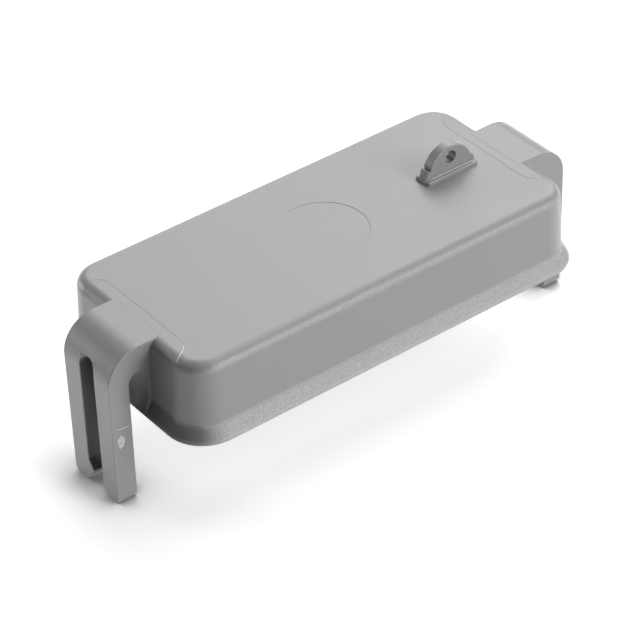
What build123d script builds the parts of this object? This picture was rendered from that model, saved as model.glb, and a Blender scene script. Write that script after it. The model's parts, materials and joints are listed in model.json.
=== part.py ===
"""Snap-on protective cover for a rectangular heavy-duty connector housing, in millimetres.

The long side runs along X, the short side along Y and the top faces +Z. The part stands on the
tips of its four arm prongs, which are at z = 0, and the Z axis runs through the middle of the cap.
"""

from build123d import *
from math import acos, asin, atan2, cos, degrees, pi, radians, sin, tan
import os

# Cap body
BODY_LENGTH = 93.5
BODY_WIDTH = 42.4
CAP_HEIGHT = 17.15
CORNER_RADIUS = 6.2
TOP_EDGE_RADIUS = 2.35
WALL_DRAFT = 2.2
WALL = 2.2
ROOF = 2.4
CAVITY_DRAFT = 1.2
CAVITY_RADIUS = 1.2

# Flared rim around the mouth, blended into the wall
FLARE_REACH = 1.65
FLARE_HEIGHT = 3.4
FLARE_BLEND_RADIUS = 3.0
RIM_LAND = 0.3
RIM_WALL = 1.9

# Snap arm at each short end
ARM_DROP = 18.2
ARM_WIDTH = 15.1
ARM_TIP_TAPER = 0.3
ARM_THICKNESS = 4.4
ARM_GAP = 4.5
ARM_BEND_RADIUS = 7.0
BRIDGE_THICKNESS = 6.0
ARM_EDGE_RADIUS = 0.2
PANEL_PROUD = 0.35
PANEL_STRAIGHT = 1.7

# Fork of each arm, which snaps over a locking peg
SLOT_WIDTH = 4.6
SLOT_TOP = 13.1
NOSE_REACH = 1.55
NOSE_ABOVE_TIP = 3.5
CATCH_RUN = 2.2
LEAD_IN_REACH = 2.5
LEAD_IN_RADIUS = 1.4
PRONG_INNER_RADIUS = 3.0
PRONG_OUTER_RADIUS = 1.6

# Lanyard eye on the top
EYE_X = 31.75
EYE_RADIUS = 5.55
EYE_CENTRE_HEIGHT = 1.0
EYE_THICKNESS = 2.2
EYE_HOLE_RADIUS = 1.4
EYE_HOLE_HEIGHT = 3.95
EYE_EDGE_RADIUS = 0.25
SHOULDER_HEIGHT = 2.5
SHOULDER_REACH = 0.7
SHOULDER_SLOPE = 0.6
NECK_INSET = 0.35
EYE_FOOT_HEIGHT = 0.8
EYE_FOOT_WIDTH = 4.2
EYE_FOOT_CORNER = 0.7
EYE_FOOT_END = 0.35

# Shallow round recess for a label
DISC_RADIUS = 9.5
DISC_DEPTH = 0.08

# Rim seal, seated against the ledge inside the rim
SEAL_HEIGHT = 1.8
SEAL_STANDOFF = 0.4
SEAL_CLEARANCE = 0.15
SEAL_LIP_RADIUS = 0.5

# Levels and places worked out from the sizes
rim_z = ARM_DROP
top_z = rim_z + CAP_HEIGHT
land_z = rim_z + RIM_LAND
flare_z = rim_z + FLARE_HEIGHT
ledge_height = SEAL_HEIGHT + SEAL_STANDOFF
slope = tan(radians(WALL_DRAFT))
wall_at_rim = CAP_HEIGHT * slope
wall_at_flare = (CAP_HEIGHT - FLARE_HEIGHT) * slope
rim_offset = wall_at_flare + FLARE_REACH
flare_angle = degrees(atan2(FLARE_REACH, FLARE_HEIGHT - RIM_LAND))
cavity_offset = wall_at_rim - WALL
rebate_offset = rim_offset - RIM_WALL

rim_x = BODY_LENGTH / 2 + rim_offset
root_x = BODY_LENGTH / 2 - TOP_EDGE_RADIUS
panel_x = BODY_LENGTH / 2 + wall_at_flare + PANEL_PROUD
arm_inner_x = panel_x + ARM_GAP
arm_outer_x = arm_inner_x + ARM_THICKNESS
bend_x = arm_outer_x - ARM_BEND_RADIUS
bend_z = top_z - ARM_BEND_RADIUS
arch_radius = ARM_GAP / 2
arch_z = top_z - BRIDGE_THICKNESS - arch_radius
panel_z = arch_z - PANEL_STRAIGHT

foot_top = top_z + EYE_FOOT_HEIGHT
eye_z = top_z + EYE_CENTRE_HEIGHT
shoulder_z = top_z + SHOULDER_HEIGHT
neck = EYE_RADIUS * cos(asin((SHOULDER_HEIGHT - EYE_CENTRE_HEIGHT) / EYE_RADIUS)) - NECK_INSET
neck_z = eye_z + EYE_RADIUS * sin(acos(neck / EYE_RADIUS))
shoulder_top = neck + SHOULDER_REACH
shoulder_foot = shoulder_top + SHOULDER_SLOPE
foot_length = 2 * (shoulder_foot + EYE_FOOT_END)

slot_half = SLOT_WIDTH / 2
slot_start_x = arm_inner_x - arch_radius
slot_z = rim_z + SLOT_TOP - slot_half
catch_z = NOSE_ABOVE_TIP + CATCH_RUN
nose_y = -slot_half + NOSE_REACH
lead_in_y = nose_y - LEAD_IN_REACH
past = 1.0
near = 0.01


def plan(offset):
    """The cap's outline in plan, grown outwards by an offset."""
    RectangleRounded(BODY_LENGTH + 2 * offset, BODY_WIDTH + 2 * offset, CORNER_RADIUS + offset)


# Snap arm at the +X end: bridge, bend, forked leg and the panel that carries it on the end wall
with BuildPart() as arm:
    # Side view
    with BuildSketch(Plane.XZ):
        with BuildLine():
            Line((root_x, top_z), (bend_x, top_z))
            ThreePointArc(
                (bend_x, top_z),
                (bend_x + ARM_BEND_RADIUS * sin(pi / 4), bend_z + ARM_BEND_RADIUS * cos(pi / 4)),
                (arm_outer_x, bend_z),
            )
            Polyline((arm_outer_x, bend_z), (arm_outer_x, 0), (arm_inner_x, 0), (arm_inner_x, arch_z))
            ThreePointArc(
                (arm_inner_x, arch_z),
                (arm_inner_x - arch_radius, arch_z + arch_radius),
                (panel_x, arch_z),
            )
            Line((panel_x, arch_z), (panel_x, panel_z))
            TangentArc((panel_x, panel_z), (rim_x, land_z), tangent=(0, -1))
            Polyline((rim_x, land_z), (rim_x, rim_z), (root_x, rim_z), (root_x, top_z))
        make_face()
    extrude(amount=ARM_WIDTH / 2, both=True)

    # End view: sides that close in towards the tip, and rounded outer corners
    with BuildSketch(Plane.YZ) as end_view:
        with BuildLine():
            Polyline(
                (-ARM_WIDTH / 2, top_z),
                (ARM_WIDTH / 2, top_z),
                (ARM_WIDTH / 2 - ARM_TIP_TAPER, 0),
                (ARM_TIP_TAPER - ARM_WIDTH / 2, 0),
                close=True,
            )
        make_face()
        fillet(end_view.vertices().group_by(Axis.Y)[0], PRONG_OUTER_RADIUS)
    extrude(amount=arm_outer_x + past, mode=Mode.INTERSECT)

    # Open slot that runs in to the middle of the arch, with a round top, a snap nose and lead-ins
    with BuildSketch(Plane.YZ.offset(slot_start_x)):
        with BuildLine():
            ThreePointArc((-slot_half, slot_z), (0, slot_z + slot_half), (slot_half, slot_z))
            Line((slot_half, slot_z), (slot_half, PRONG_INNER_RADIUS))
            ThreePointArc(
                (slot_half, PRONG_INNER_RADIUS),
                (
                    slot_half + PRONG_INNER_RADIUS * (1 - cos(pi / 4)),
                    PRONG_INNER_RADIUS * (1 - sin(pi / 4)),
                ),
                (slot_half + PRONG_INNER_RADIUS, 0),
            )
            Polyline(
                (slot_half + PRONG_INNER_RADIUS, 0),
                (slot_half + PRONG_INNER_RADIUS, -past),
                (lead_in_y, -past),
                (lead_in_y, 0),
                (nose_y, NOSE_ABOVE_TIP),
                (-slot_half, catch_z),
                (-slot_half, slot_z),
            )
        make_face()
    extrude(amount=arm_outer_x - slot_start_x + past, mode=Mode.SUBTRACT)
    tip_edges = arm.edges().filter_by(Axis.X).group_by(Axis.Z)[0].sort_by(Axis.Y)
    fillet(tip_edges[1], LEAD_IN_RADIUS)

    # Softened edges all round the outer face and along the bend and bridge
    outer_face = arm.faces().filter_by(GeomType.PLANE).sort_by(Axis.X)[-1]
    fillet(outer_face.edges().group_by(Axis.Z)[:-1], ARM_EDGE_RADIUS)

# Cover: cap, flared rim, both snap arms and the lanyard eye, moulded in one piece
with BuildPart() as cover:
    # Cap with drafted walls and a rounded top edge
    with BuildSketch(Plane.XY.offset(rim_z)):
        plan(wall_at_rim)
    extrude(amount=CAP_HEIGHT, taper=WALL_DRAFT)
    fillet(cover.faces().sort_by(Axis.Z)[-1].edges(), TOP_EDGE_RADIUS)

    # Flared rim over a short upright land
    with BuildSketch(Plane.XY.offset(rim_z)):
        plan(rim_offset)
    extrude(amount=RIM_LAND)
    with BuildSketch(Plane.XY.offset(land_z)):
        plan(rim_offset)
    extrude(amount=FLARE_HEIGHT - RIM_LAND, taper=flare_angle)
    flare_top = cover.edges().filter_by_position(Axis.Z, flare_z - near, flare_z + near)
    fillet(flare_top, FLARE_BLEND_RADIUS)

    # Arms, the second turned half round
    add(arm.part)
    add(arm.part.rotate(Axis.Z, 180))

    # Hollow inside, and the wider mouth that leaves a ledge for the seal
    with BuildSketch(Plane.XY.offset(rim_z)):
        plan(cavity_offset)
    extrude(amount=CAP_HEIGHT - ROOF, taper=CAVITY_DRAFT, mode=Mode.SUBTRACT)
    roof_face = cover.faces().filter_by(Axis.Z).group_by(Axis.Z)[-2]
    fillet(roof_face.edges(), CAVITY_RADIUS)
    with BuildSketch(Plane.XY.offset(rim_z)):
        plan(rebate_offset)
    extrude(amount=ledge_height, mode=Mode.SUBTRACT)

    # Round label recess in the middle of the top
    with BuildSketch(Plane.XY.offset(top_z)):
        Circle(DISC_RADIUS)
    extrude(amount=-DISC_DEPTH, mode=Mode.SUBTRACT)

    # Lanyard eye: a low foot and an upright round-topped lug on two shoulders, with a hole through
    with BuildSketch(Plane.XY.offset(top_z)):
        with Locations((EYE_X, 0)):
            RectangleRounded(foot_length, EYE_FOOT_WIDTH, EYE_FOOT_CORNER)
    extrude(amount=EYE_FOOT_HEIGHT)
    fillet(cover.faces().sort_by(Axis.Z)[-1].edges(), EYE_EDGE_RADIUS)
    with BuildSketch(Plane.XZ):
        with BuildLine():
            Polyline(
                (EYE_X - neck, neck_z),
                (EYE_X - neck, shoulder_z),
                (EYE_X - shoulder_top, shoulder_z),
                (EYE_X - shoulder_foot, foot_top),
                (EYE_X + shoulder_foot, foot_top),
                (EYE_X + shoulder_top, shoulder_z),
                (EYE_X + neck, shoulder_z),
                (EYE_X + neck, neck_z),
            )
            ThreePointArc(
                (EYE_X + neck, neck_z),
                (EYE_X, eye_z + EYE_RADIUS),
                (EYE_X - neck, neck_z),
            )
        make_face()
    extrude(amount=EYE_THICKNESS / 2, both=True)
    fillet(cover.faces().sort_by(Axis.Z)[-1].edges().filter_by(GeomType.CIRCLE), EYE_EDGE_RADIUS)
    with BuildSketch(Plane.XZ):
        with Locations((EYE_X, top_z + EYE_HOLE_HEIGHT)):
            Circle(EYE_HOLE_RADIUS)
    extrude(amount=EYE_THICKNESS, both=True, mode=Mode.SUBTRACT)

# Rim seal: a rubber ring with rounded lips towards the housing
with BuildPart() as rim_seal:
    with BuildSketch(Plane.XY.offset(rim_z + SEAL_STANDOFF)):
        plan(rebate_offset - SEAL_CLEARANCE)
        with BuildSketch(mode=Mode.SUBTRACT):
            plan(cavity_offset + SEAL_CLEARANCE)
    extrude(amount=SEAL_HEIGHT)
    fillet(rim_seal.faces().sort_by(Axis.Z)[0].edges(), SEAL_LIP_RADIUS)

cover.part.label = "cover"
rim_seal.part.label = "rim_seal"

os.makedirs("parts", exist_ok=True)
export_step(cover.part, "parts/cover.step")
export_step(rim_seal.part, "parts/rim_seal.step")
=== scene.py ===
"""Looks of the snap-on connector cover: moulded grey plastic with its mould marks, on a pale floor."""

import bpy
import json
from math import cos, pi, radians, sin
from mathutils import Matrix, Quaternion, Vector
from mathutils.bvhtree import BVHTree
from random import Random


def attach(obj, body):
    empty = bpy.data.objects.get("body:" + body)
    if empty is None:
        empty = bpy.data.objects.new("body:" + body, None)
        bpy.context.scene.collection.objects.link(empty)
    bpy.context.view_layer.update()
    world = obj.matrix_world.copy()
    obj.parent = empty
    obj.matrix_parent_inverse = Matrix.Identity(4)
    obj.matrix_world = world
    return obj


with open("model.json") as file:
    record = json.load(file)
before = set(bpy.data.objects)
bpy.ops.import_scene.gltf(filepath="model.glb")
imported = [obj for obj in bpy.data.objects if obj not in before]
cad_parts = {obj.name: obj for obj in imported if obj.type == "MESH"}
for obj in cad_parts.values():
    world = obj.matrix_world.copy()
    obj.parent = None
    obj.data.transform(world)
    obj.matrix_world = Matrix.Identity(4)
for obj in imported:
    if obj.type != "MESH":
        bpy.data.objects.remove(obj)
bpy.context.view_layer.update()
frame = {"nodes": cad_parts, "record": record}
scene = bpy.context.scene
MM = 0.001
mounts = {mount["name"]: mount for mount in frame["record"]["mounts"]}
eye = mounts["lanyard_eye"]

# Sizes of the part, in millimetres
CAP_HEIGHT = 17.15
FLARE_HEIGHT = 3.4
ARM_WIDTH = 15.1
SLOT_WIDTH = 4.6
SLOT_HEIGHT = 13.1
DISC_RADIUS = 9.5
EYE_HOLE_RADIUS = eye["dims"]["r_mm"]

# Places on the part, in millimetres
RIM_Z = round(mounts["rim_face"]["pos_m"][2] / MM, 3)
TOP_Z = RIM_Z + CAP_HEIGHT
FLARE_TOP_Z = RIM_Z + FLARE_HEIGHT
SLOT_TOP_Z = RIM_Z + SLOT_HEIGHT
EYE_X = round(eye["pos_m"][0] / MM, 3)
EYE_HOLE_Z = round(eye["pos_m"][2] / MM, 3)
INSERT_X = 42.1
ROOT_X = 44.1
CAP_END_X = 49.2
ARM_OUTER_X = 56.5

# Colours, linear
PLASTIC_DARK = (0.278, 0.281, 0.280, 1.0)
PLASTIC_LIGHT = (0.294, 0.297, 0.297, 1.0)
# Pale specks on the flare, and a painted highlight along the top's long edges
SPECK_AND_HIGHLIGHT = (0.50, 0.504, 0.515, 1.0)
# Painted shade on the flare's ends beside the arms
FLARE_END_SHADE = (0.19, 0.192, 0.194, 1.0)
# Pale tone for the rim's lower edge, and painted light on the arms' outer edges
PALE_EDGE = (0.50, 0.505, 0.51, 1.0)
DEEP_SHADE = (0.04, 0.04, 0.041, 1.0)
# Whitened torn plastic, also used for a painted highlight along the eye's foot
TORN_AND_HIGHLIGHT_DARK = (0.48, 0.483, 0.486, 1.0)
TORN_AND_HIGHLIGHT_LIGHT = (0.74, 0.745, 0.75, 1.0)
RUBBER_DARK = (0.018, 0.018, 0.019, 1.0)
RUBBER_LIGHT = (0.034, 0.034, 0.035, 1.0)
WHITE = (1.0, 1.0, 1.0, 1.0)


def new_material(name):
    """A node material, with its node tree and its Principled shader."""
    material = bpy.data.materials.new(name)
    material.use_nodes = True
    tree = material.node_tree
    return material, tree, tree.nodes["Principled BSDF"]


def object_place(tree):
    """The place of a point in its object, which is the part's frame in metres."""
    return tree.nodes.new("ShaderNodeTexCoord").outputs["Object"]


def split(tree, vector):
    """The x, y and z of a vector."""
    node = tree.nodes.new("ShaderNodeSeparateXYZ")
    tree.links.new(vector, node.inputs[0])
    return node.outputs


def math(tree, operation, *values):
    """A Math node; each value is a socket or a number."""
    node = tree.nodes.new("ShaderNodeMath")
    node.operation = operation
    for socket, value in zip(node.inputs, values):
        if isinstance(value, (int, float)):
            socket.default_value = value
        else:
            tree.links.new(value, socket)
    return node.outputs[0]


def product(tree, first, *others):
    """All the values multiplied together."""
    result = first
    for other in others:
        result = math(tree, "MULTIPLY", result, other)
    return result


def smooth_band(tree, value, start, end):
    """0 before start, 1 past end and smooth between them; start may be the larger one."""
    node = tree.nodes.new("ShaderNodeMapRange")
    node.interpolation_type = "SMOOTHSTEP"
    tree.links.new(value, node.inputs["Value"])
    node.inputs["From Min"].default_value = min(start, end)
    node.inputs["From Max"].default_value = max(start, end)
    node.inputs["To Min"].default_value = 0.0 if start < end else 1.0
    node.inputs["To Max"].default_value = 1.0 if start < end else 0.0
    return node.outputs["Result"]


def place_band(tree, value, start, end):
    """smooth_band for a place on the part, with start and end in millimetres."""
    return smooth_band(tree, value, start * MM, end * MM)


def noise(tree, vector, scale, detail, roughness):
    """Noise with scale lumps to the metre."""
    node = tree.nodes.new("ShaderNodeTexNoise")
    node.inputs["Scale"].default_value = scale
    node.inputs["Detail"].default_value = detail
    node.inputs["Roughness"].default_value = roughness
    tree.links.new(vector, node.inputs["Vector"])
    return node.outputs["Fac"]


def mix_colour(tree, factor, a, b):
    """A blend from a to b, each a socket or a colour; factor is a socket."""
    node = tree.nodes.new("ShaderNodeMix")
    node.data_type = "RGBA"
    tree.links.new(factor, node.inputs[0])
    for socket, value in ((node.inputs[6], a), (node.inputs[7], b)):
        if isinstance(value, tuple):
            socket.default_value = value
        else:
            tree.links.new(value, socket)
    return node.outputs[2]


def finish(tree, shader, tone, rough, height, strength, distance):
    """Joins colour, roughness and bump to the shader; distance is the bump's depth in metres."""
    bump = tree.nodes.new("ShaderNodeBump")
    bump.inputs["Strength"].default_value = strength
    bump.inputs["Distance"].default_value = distance
    tree.links.new(height, bump.inputs["Height"])
    tree.links.new(tone, shader.inputs["Base Color"])
    tree.links.new(rough, shader.inputs["Roughness"])
    tree.links.new(bump.outputs["Normal"], shader.inputs["Normal"])


def flare_masks(tree, along, z):
    """The flared rim, and the narrow stretch along its lower edge; the arms are left out."""
    on_cap = place_band(tree, along, CAP_END_X + 1.0, CAP_END_X)
    above_rim = product(tree, on_cap, place_band(tree, z, RIM_Z - 0.6, RIM_Z - 0.1))
    on_flare = product(tree, above_rim, place_band(tree, z, FLARE_TOP_Z + 0.45, FLARE_TOP_Z - 0.1))
    rim_edge = product(tree, above_rim, place_band(tree, z, RIM_Z + 1.0, RIM_Z + 0.45))
    return on_flare, rim_edge


def slot_shade_mask(tree, along, across, z):
    """The walls of the slot in each arm, where shade is painted."""
    half = SLOT_WIDTH / 2
    return product(
        tree,
        place_band(tree, across, half + 0.06, half + 0.02),
        place_band(tree, z, SLOT_TOP_Z + 0.1, SLOT_TOP_Z + 0.04),
        place_band(tree, along, CAP_END_X, CAP_END_X + 1.0),
        place_band(tree, along, ARM_OUTER_X + 1.0, ARM_OUTER_X - 2.5),
    )


def hole_shade_mask(tree, x, across, z):
    """The wall of the lanyard eye's hole, where shade is painted."""
    offset_x = math(tree, "SUBTRACT", x, EYE_X * MM)
    offset_z = math(tree, "SUBTRACT", z, EYE_HOLE_Z * MM)
    squares = (product(tree, offset_x, offset_x), product(tree, offset_z, offset_z))
    from_axis = math(tree, "SQRT", math(tree, "ADD", *squares))
    return product(
        tree,
        place_band(tree, from_axis, EYE_HOLE_RADIUS + 0.05, EYE_HOLE_RADIUS + 0.01),
        place_band(tree, across, 1.15, 0.85),
    )


def cover_plastic():
    """Grey moulded plastic, fine on its top and grainy below, with pale specks along its long sides,
    painted highlights on its top edges and arm edges, and painted shade on the flare's ends, in the
    slots and in the eye's hole.
    """
    material, tree, shader = new_material("cover_plastic")
    place = object_place(tree)
    x, y, z = split(tree, place)
    normal_x, normal_y, normal_z = split(tree, tree.nodes.new("ShaderNodeNewGeometry").outputs["Normal"])
    along = math(tree, "ABSOLUTE", x)
    across = math(tree, "ABSOLUTE", y)
    fine = noise(tree, place, scale=5200.0, detail=3.0, roughness=0.6)
    grain = noise(tree, place, scale=2300.0, detail=3.0, roughness=0.65)
    sparkle = noise(tree, place, scale=3300.0, detail=2.0, roughness=0.6)
    cloud = noise(tree, place, scale=60.0, detail=2.0, roughness=0.5)

    # Where each finish, painted shade or painted highlight shows, 1 there and 0 elsewhere
    on_flare, rim_edge = flare_masks(tree, along, z)
    # Painted shade: the slot walls are darkened
    slot_shade = slot_shade_mask(tree, along, across, z)
    # Painted shade: the eye hole's wall is darkened
    hole_shade = hole_shade_mask(tree, x, across, z)
    # Painted light: the rounded edges of the arms' outer faces are lightened against the shade that
    # darkens them
    arm_edge_light = product(
        tree,
        place_band(tree, along, ARM_OUTER_X - 0.2, ARM_OUTER_X - 0.14),
        smooth_band(tree, math(tree, "ABSOLUTE", normal_x), 0.96, 0.90),
    )
    long_side = smooth_band(tree, math(tree, "ABSOLUTE", normal_y), 0.66, 0.84)
    beside_arm = place_band(tree, across, ARM_WIDTH / 2, ARM_WIDTH / 2 + 0.15)
    # Painted shade: the flare's ends beside the arms are darkened where the arms shade them
    flare_end_shade = product(tree, on_flare, math(tree, "SUBTRACT", 1.0, long_side), beside_arm)
    # Painted highlight: a pale speckled band along the rounding of the top's long edges
    top_edge_highlight = product(
        tree,
        smooth_band(tree, normal_z, 0.03, 0.38),
        smooth_band(tree, normal_z, 0.92, 0.50),
        place_band(tree, z, TOP_Z - 3.0, TOP_Z - 2.4),
    )
    # Pale specks on the flare's long sides, and the painted highlight on the top edge's rounding
    specks_and_highlight = product(tree, math(tree, "MAXIMUM", on_flare, product(tree, top_edge_highlight, 0.85)), long_side)

    # Colour, a cloudy grey that each finish, painted shade and painted highlight tints by its share
    specks = math(tree, "MULTIPLY_ADD", smooth_band(tree, sparkle, 0.40, 0.64), 0.42, 0.08)
    tone = mix_colour(tree, cloud, PLASTIC_DARK, PLASTIC_LIGHT)
    for mask, share, tint in (
        (specks_and_highlight, specks, SPECK_AND_HIGHLIGHT),
        (flare_end_shade, 0.85, FLARE_END_SHADE),
        (rim_edge, 0.3, PALE_EDGE),
        (slot_shade, 0.85, DEEP_SHADE),
        (hole_shade, 0.7, DEEP_SHADE),
        (arm_edge_light, 0.6, PALE_EDGE),
    ):
        tone = mix_colour(tree, product(tree, mask, share), tone, tint)

    # Roughness and grain
    rough = math(tree, "MULTIPLY_ADD", fine, 0.12, 0.34)
    rough = math(tree, "ADD", rough, product(tree, slot_shade, 0.22))
    off_top = smooth_band(tree, normal_z, 0.995, 0.90)
    coarse = math(tree, "MAXIMUM", on_flare, product(tree, off_top, 1.1))
    height = math(tree, "ADD", product(tree, fine, 0.3), product(tree, grain, coarse))
    finish(tree, shader, tone, rough, height, strength=0.6, distance=0.00009)
    return material


def torn_and_highlight_plastic():
    """The same plastic, whitened and rough where it was cut or torn off; on the eye's foot its paleness
    is a painted highlight.
    """
    material, tree, shader = new_material("torn_and_highlight_plastic")
    lumps = noise(tree, object_place(tree), scale=2600.0, detail=3.0, roughness=0.7)
    tone = mix_colour(tree, smooth_band(tree, lumps, 0.35, 0.6), TORN_AND_HIGHLIGHT_DARK, TORN_AND_HIGHLIGHT_LIGHT)
    rough = math(tree, "MULTIPLY_ADD", lumps, 0.2, 0.5)
    finish(tree, shader, tone, rough, lumps, strength=0.7, distance=0.0001)
    return material


def seal_rubber():
    """Black rubber with a dull bloom."""
    material, tree, shader = new_material("seal_rubber")
    cloud = noise(tree, object_place(tree), scale=900.0, detail=4.0, roughness=0.6)
    tone = mix_colour(tree, cloud, RUBBER_DARK, RUBBER_LIGHT)
    rough = math(tree, "MULTIPLY_ADD", cloud, 0.2, 0.55)
    finish(tree, shader, tone, rough, cloud, strength=0.4, distance=0.00004)
    return material


def dress(node, material):
    """Gives a CAD node its material."""
    solid = frame["nodes"][node]
    if not solid.material_slots:
        solid.data.materials.append(None)
    for slot in solid.material_slots:
        slot.material = material


plastic = cover_plastic()
torn_and_highlight = torn_and_highlight_plastic()
dress("cover", plastic)
dress("rim_seal", seal_rubber())


# Mould marks, which follow the cover's surface
cover = frame["nodes"]["cover"]
surface = BVHTree.FromPolygons(
    [vertex.co[:] for vertex in cover.data.vertices],
    [polygon.vertices[:] for polygon in cover.data.polygons],
)


def nearest(point):
    """The nearest place on the cover to a point in millimetres, and the normal there, in metres."""
    return surface.find_nearest(point * MM)[:2]


def piece(name, points, faces, material, smooth=True):
    """A mesh object that rides on the part, from points in metres."""
    mesh = bpy.data.meshes.new(name)
    mesh.from_pydata(points, [], faces)
    mesh.validate()
    mesh.materials.append(material)
    for polygon in mesh.polygons:
        polygon.use_smooth = smooth
    thing = bpy.data.objects.new(name, mesh)
    scene.collection.objects.link(thing)
    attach(thing, "root")


def bands(first, rows, size):
    """Quads that join each closed row of size points to the next row, from point number first."""
    faces = []
    for row in range(rows - 1):
        here, there = first + row * size, first + (row + 1) * size
        for k in range(size):
            after = (k + 1) % size
            faces.append((here + k, here + after, there + after, there + k))
    return faces


def smooth_path(points, step=0.35):
    """A Catmull-Rom curve through points, cut into short steps; lengths in millimetres."""
    path = []
    ends = [points[0]] + points + [points[-1]]
    for p0, p1, p2, p3 in zip(ends, ends[1:], ends[2:], ends[3:]):
        count = max(1, round((p2 - p1).length / step))
        for i in range(count):
            t = i / count
            path.append(
                0.5 * (2 * p1 + (p2 - p0) * t + (2 * p0 - 5 * p1 + 4 * p2 - p3) * t ** 2
                       + (3 * p1 - p0 - 3 * p2 + p3) * t ** 3)
            )
    return path + [points[-1]]


# Section of a ridge, across in half widths and up in heights
RIDGE_SECTION = ((-1.0, -0.7), (-0.8, 0.45), (-0.35, 0.95), (0.35, 0.95), (0.8, 0.45), (1.0, -0.7))


def ridge(name, path, material, half_width, height):
    """A low round-backed ridge along a path near the surface, which fades out at both ends."""
    count, size = len(path), len(RIDGE_SECTION)
    spots = [nearest(point) for point in path]
    points = []
    for i, (spot, normal) in enumerate(spots):
        before, after = spots[max(i - 1, 0)][0], spots[min(i + 1, count - 1)][0]
        across = normal.cross(after - before).normalized()
        fade = min(1.0, 0.3 + 0.35 * min(i, count - 1 - i))
        for side, lift in RIDGE_SECTION:
            points.append(spot + across * side * half_width * MM + normal * lift * height * fade * MM)
    faces = bands(0, count, size)
    faces.append(tuple(range(size - 1, -1, -1)))
    faces.append(tuple(range((count - 1) * size, count * size)))
    piece(name, points, faces, material)


def on_top(points, side):
    """Points in plan set on the top, at the +X end as given, or mirrored to the other end."""
    return [Vector((x * side, y, TOP_Z)) for x, y in points]


# Edges of the mould's insert, which run off the top over its rounded edge, and of the arms' roots
INSERT_EDGE = (
    (45.6, 15.5), (44.3, 15.2), (43.1, 14.6), (42.4, 13.6),
    (INSERT_X, 12.0), (INSERT_X, 6.0), (INSERT_X, 0.0), (INSERT_X, -6.0), (INSERT_X, -10.8),
    (42.6, -12.7), (43.6, -13.8), (45.1, -14.85), (46.1, -15.35),
)
INSERT_EDGE_DROP = 0.8
ROOT_EDGE = ((ROOT_X, ARM_WIDTH / 2), (ROOT_X, 0.0), (ROOT_X, -ARM_WIDTH / 2))
for end, side in (("left", -1), ("right", 1)):
    edge = on_top(INSERT_EDGE, side)
    edge[-1].z -= INSERT_EDGE_DROP
    ridge("insert_edge_" + end, smooth_path(edge), plastic, half_width=0.10, height=0.03)
    root = on_top(ROOT_EDGE, side)
    ridge("root_edge_" + end, smooth_path(root), plastic, half_width=0.09, height=0.02)

# Torn strip of flash at the end of the left insert's edge
flash = [
    Vector((-42.7, -12.85, TOP_Z)), Vector((-43.7, -13.9, TOP_Z)),
    Vector((-45.0, -14.75, TOP_Z - 0.15)), Vector((-46.1, -15.3, TOP_Z - 0.95)),
]
ridge("insert_flash", smooth_path(flash), torn_and_highlight, half_width=0.12, height=0.09)

# Slope at the edge of the round recess, out from its circle and up from the top
DISC_SLOPE = ((0.12, -0.01), (0.04, 0.006), (-0.03, 0.0), (-0.15, -0.084), (-0.2, -0.095))


def disc_edge():
    """The softened edge of the round recess, a narrow slope down to its floor."""
    around, size = 160, len(DISC_SLOPE)
    points = []
    for k in range(around):
        angle = 2 * pi * k / around
        for reach, lift in DISC_SLOPE:
            radius = DISC_RADIUS + reach
            points.append(Vector((radius * cos(angle), radius * sin(angle), TOP_Z + lift)) * MM)
    faces = []
    for k in range(around):
        here, there = k * size, (k + 1) % around * size
        for i in range(size - 1):
            faces.append((here + i, there + i, there + i + 1, here + i + 1))
    piece("disc_edge", points, faces, plastic)


disc_edge()

# Painted highlight: a pale line along the foot of the lanyard eye, in the lug's shade
EYE_LINE_Y = -1.3
EYE_LINE_Z = TOP_Z + 0.9
eye_foot_highlight = [Vector((x, EYE_LINE_Y, EYE_LINE_Z)) for x in (25.9, 29.0, 32.0, 35.0, 37.6)]
ridge("eye_foot_highlight_line", smooth_path(eye_foot_highlight), torn_and_highlight, half_width=0.15, height=0.08)

# Pale line and sprue scar on the side of the left arm's front prong
SIDE_LINE_Y = -7.45
side_line = [Vector((x, SIDE_LINE_Y, z)) for x, z in ((-55.4, 18.2), (-53.9, 18.05), (-52.4, 17.95))]
ridge("side_line", smooth_path(side_line), torn_and_highlight, half_width=0.11, height=0.06)
SCAR_CENTRE = Vector((-54.75, -7.43, 15.0))
SCAR_HALF_WIDTH = 0.9
SCAR_HALF_HEIGHT = 1.65
SCAR_LIFT = 0.09


def gate_scar():
    """Rings of lumpy points that widen from the scar's centre and sink into the surface at its edge."""
    random = Random(7)
    rings, around = 9, 40
    outward = Vector((0, -MM, 0))
    points = [nearest(SCAR_CENTRE)[0] + outward * SCAR_LIFT]
    for ring in range(1, rings + 1):
        share = ring / rings
        for k in range(around):
            angle = 2 * pi * k / around
            wave = 0.09 * sin(3 * angle + 1.0) + 0.07 * sin(5 * angle)
            reach = share * (1 + wave + random.uniform(-0.05, 0.05))
            x, z = SCAR_HALF_WIDTH * reach * cos(angle), SCAR_HALF_HEIGHT * reach * sin(angle)
            lift = (1 - share ** 3) * random.uniform(0.02, 0.10) - 0.02 * share
            points.append(nearest(SCAR_CENTRE + Vector((x, 0, z)))[0] + outward * lift)
    faces = [(0, 1 + (k + 1) % around, 1 + k) for k in range(around)]
    faces += bands(1, rings, around)
    piece("gate_scar", points, faces, torn_and_highlight, smooth=False)


gate_scar()


# Floor, a white table top
FLOOR_HALF = 4.0
SHADE_REACH = 0.012
MIRRORED_GLOW = 1.5
SEEN_GLOW = 0.53


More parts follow.
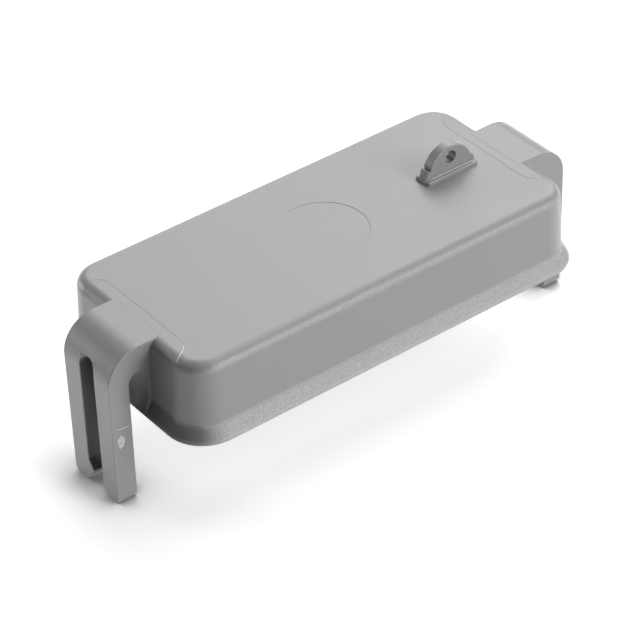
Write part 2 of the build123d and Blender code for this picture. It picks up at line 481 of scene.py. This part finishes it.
def pale_floor():
    """White, lit from below and bright in what mirrors it; a painted shadow darkens it close under the
    part.
    """
    material, tree, shader = new_material("pale_floor")
    rays = tree.nodes.new("ShaderNodeLightPath")
    seen, mirrored = rays.outputs["Is Camera Ray"], rays.outputs["Is Glossy Ray"]
    close = tree.nodes.new("ShaderNodeAmbientOcclusion")
    close.samples = 16
    close.inputs["Distance"].default_value = SHADE_REACH
    shade = math(tree, "MULTIPLY_ADD", smooth_band(tree, close.outputs["AO"], 0.35, 1.0), 0.8, 0.2)
    mirror_shade = math(tree, "MULTIPLY_ADD", shade, 0.6, 0.4)
    white = math(tree, "MULTIPLY_ADD", seen, 0.45, 0.4)
    glow = math(
        tree, "ADD",
        product(tree, mirrored, MIRRORED_GLOW, mirror_shade), product(tree, seen, SEEN_GLOW, shade),
    )
    tree.links.new(product(tree, white, shade), shader.inputs["Base Color"])
    tree.links.new(glow, shader.inputs["Emission Strength"])
    shader.inputs["Emission Color"].default_value = WHITE
    shader.inputs["Roughness"].default_value = 0.9
    shader.inputs["Specular IOR Level"].default_value = 0.1
    return material


floor_mesh = bpy.data.meshes.new("floor")
corners = [(FLOOR_HALF * x, FLOOR_HALF * y, 0) for x, y in ((-1, -1), (1, -1), (1, 1), (-1, 1))]
floor_mesh.from_pydata(corners, [], [(0, 1, 2, 3)])
floor_mesh.materials.append(pale_floor())
floor = bpy.data.objects.new("floor", floor_mesh)
scene.collection.objects.link(floor)


def direction(azimuth, elevation):
    """The direction from the part towards an azimuth and an elevation in degrees."""
    turn, rise = radians(azimuth), radians(elevation)
    return Vector((cos(rise) * cos(turn), cos(rise) * sin(turn), sin(rise)))


# Camera at the photo's viewing angle
VIEW_AZIMUTH = 233.3568
VIEW_ELEVATION = 37.0369
VIEW_ROLL = -2.0074
VIEW_PLACE = (-0.272545, -0.364523, 0.356594)
VIEW_LENS = 159.885
camera_data = bpy.data.cameras.new("camera")
camera_data.sensor_width = 36.0
camera_data.lens = VIEW_LENS
camera_data.clip_start = 0.01
camera = bpy.data.objects.new("camera", camera_data)
camera.location = VIEW_PLACE
camera.rotation_mode = "QUATERNION"
level = direction(VIEW_AZIMUTH, VIEW_ELEVATION).to_track_quat("Z", "Y")
camera.rotation_quaternion = level @ Quaternion((0, 0, 1), radians(VIEW_ROLL))
scene.collection.objects.link(camera)
scene.camera = camera


# Studio light, all around at one distance
LAMP_DISTANCE = 2.6
WIDE_LAMP = 1.2
LOW_LAMP = 0.42


def softbox(name, azimuth, elevation, watts, size=WIDE_LAMP):
    """A square area light that faces the part from an azimuth and an elevation in degrees."""
    data = bpy.data.lights.new(name, "AREA")
    data.shape = "SQUARE"
    data.size = size
    data.energy = watts
    towards = direction(azimuth, elevation)
    lamp = bpy.data.objects.new(name, data)
    lamp.location = towards * LAMP_DISTANCE
    lamp.rotation_mode = "QUATERNION"
    lamp.rotation_quaternion = towards.to_track_quat("Z", "Y")
    lamp.visible_camera = False
    scene.collection.objects.link(lamp)


softbox("front_right", 296, 20, 29.7)
softbox("back_right", 30, 40, 32.0)
softbox("front_high", 300, 40, 15.6)
softbox("top_right", 0, 62, 15.0)
softbox("back", 60, 40, 11.6)
softbox("back_low", 60, 20, 10.1)
softbox("left_low", 120, 20, 9.8)
softbox("right", 0, 40, 2.4)
softbox("foot_left", 120, 5, 22.0, LOW_LAMP)
softbox("foot_right", 300, 5, 5.5, LOW_LAMP)
softbox("foot_front", 270, 5, 5.4, LOW_LAMP)


# Backdrop, white to the camera and dark to everything else
BACKDROP_STRENGTH = 1.1
world = bpy.data.worlds.new("studio")
world.use_nodes = True
background = world.node_tree.nodes["Background"]
rays = world.node_tree.nodes.new("ShaderNodeLightPath")
strength = math(world.node_tree, "MULTIPLY", rays.outputs["Is Camera Ray"], BACKDROP_STRENGTH)
world.node_tree.links.new(strength, background.inputs["Strength"])
background.inputs["Color"].default_value = WHITE
scene.world = world
scene.view_settings.view_transform = "Standard"
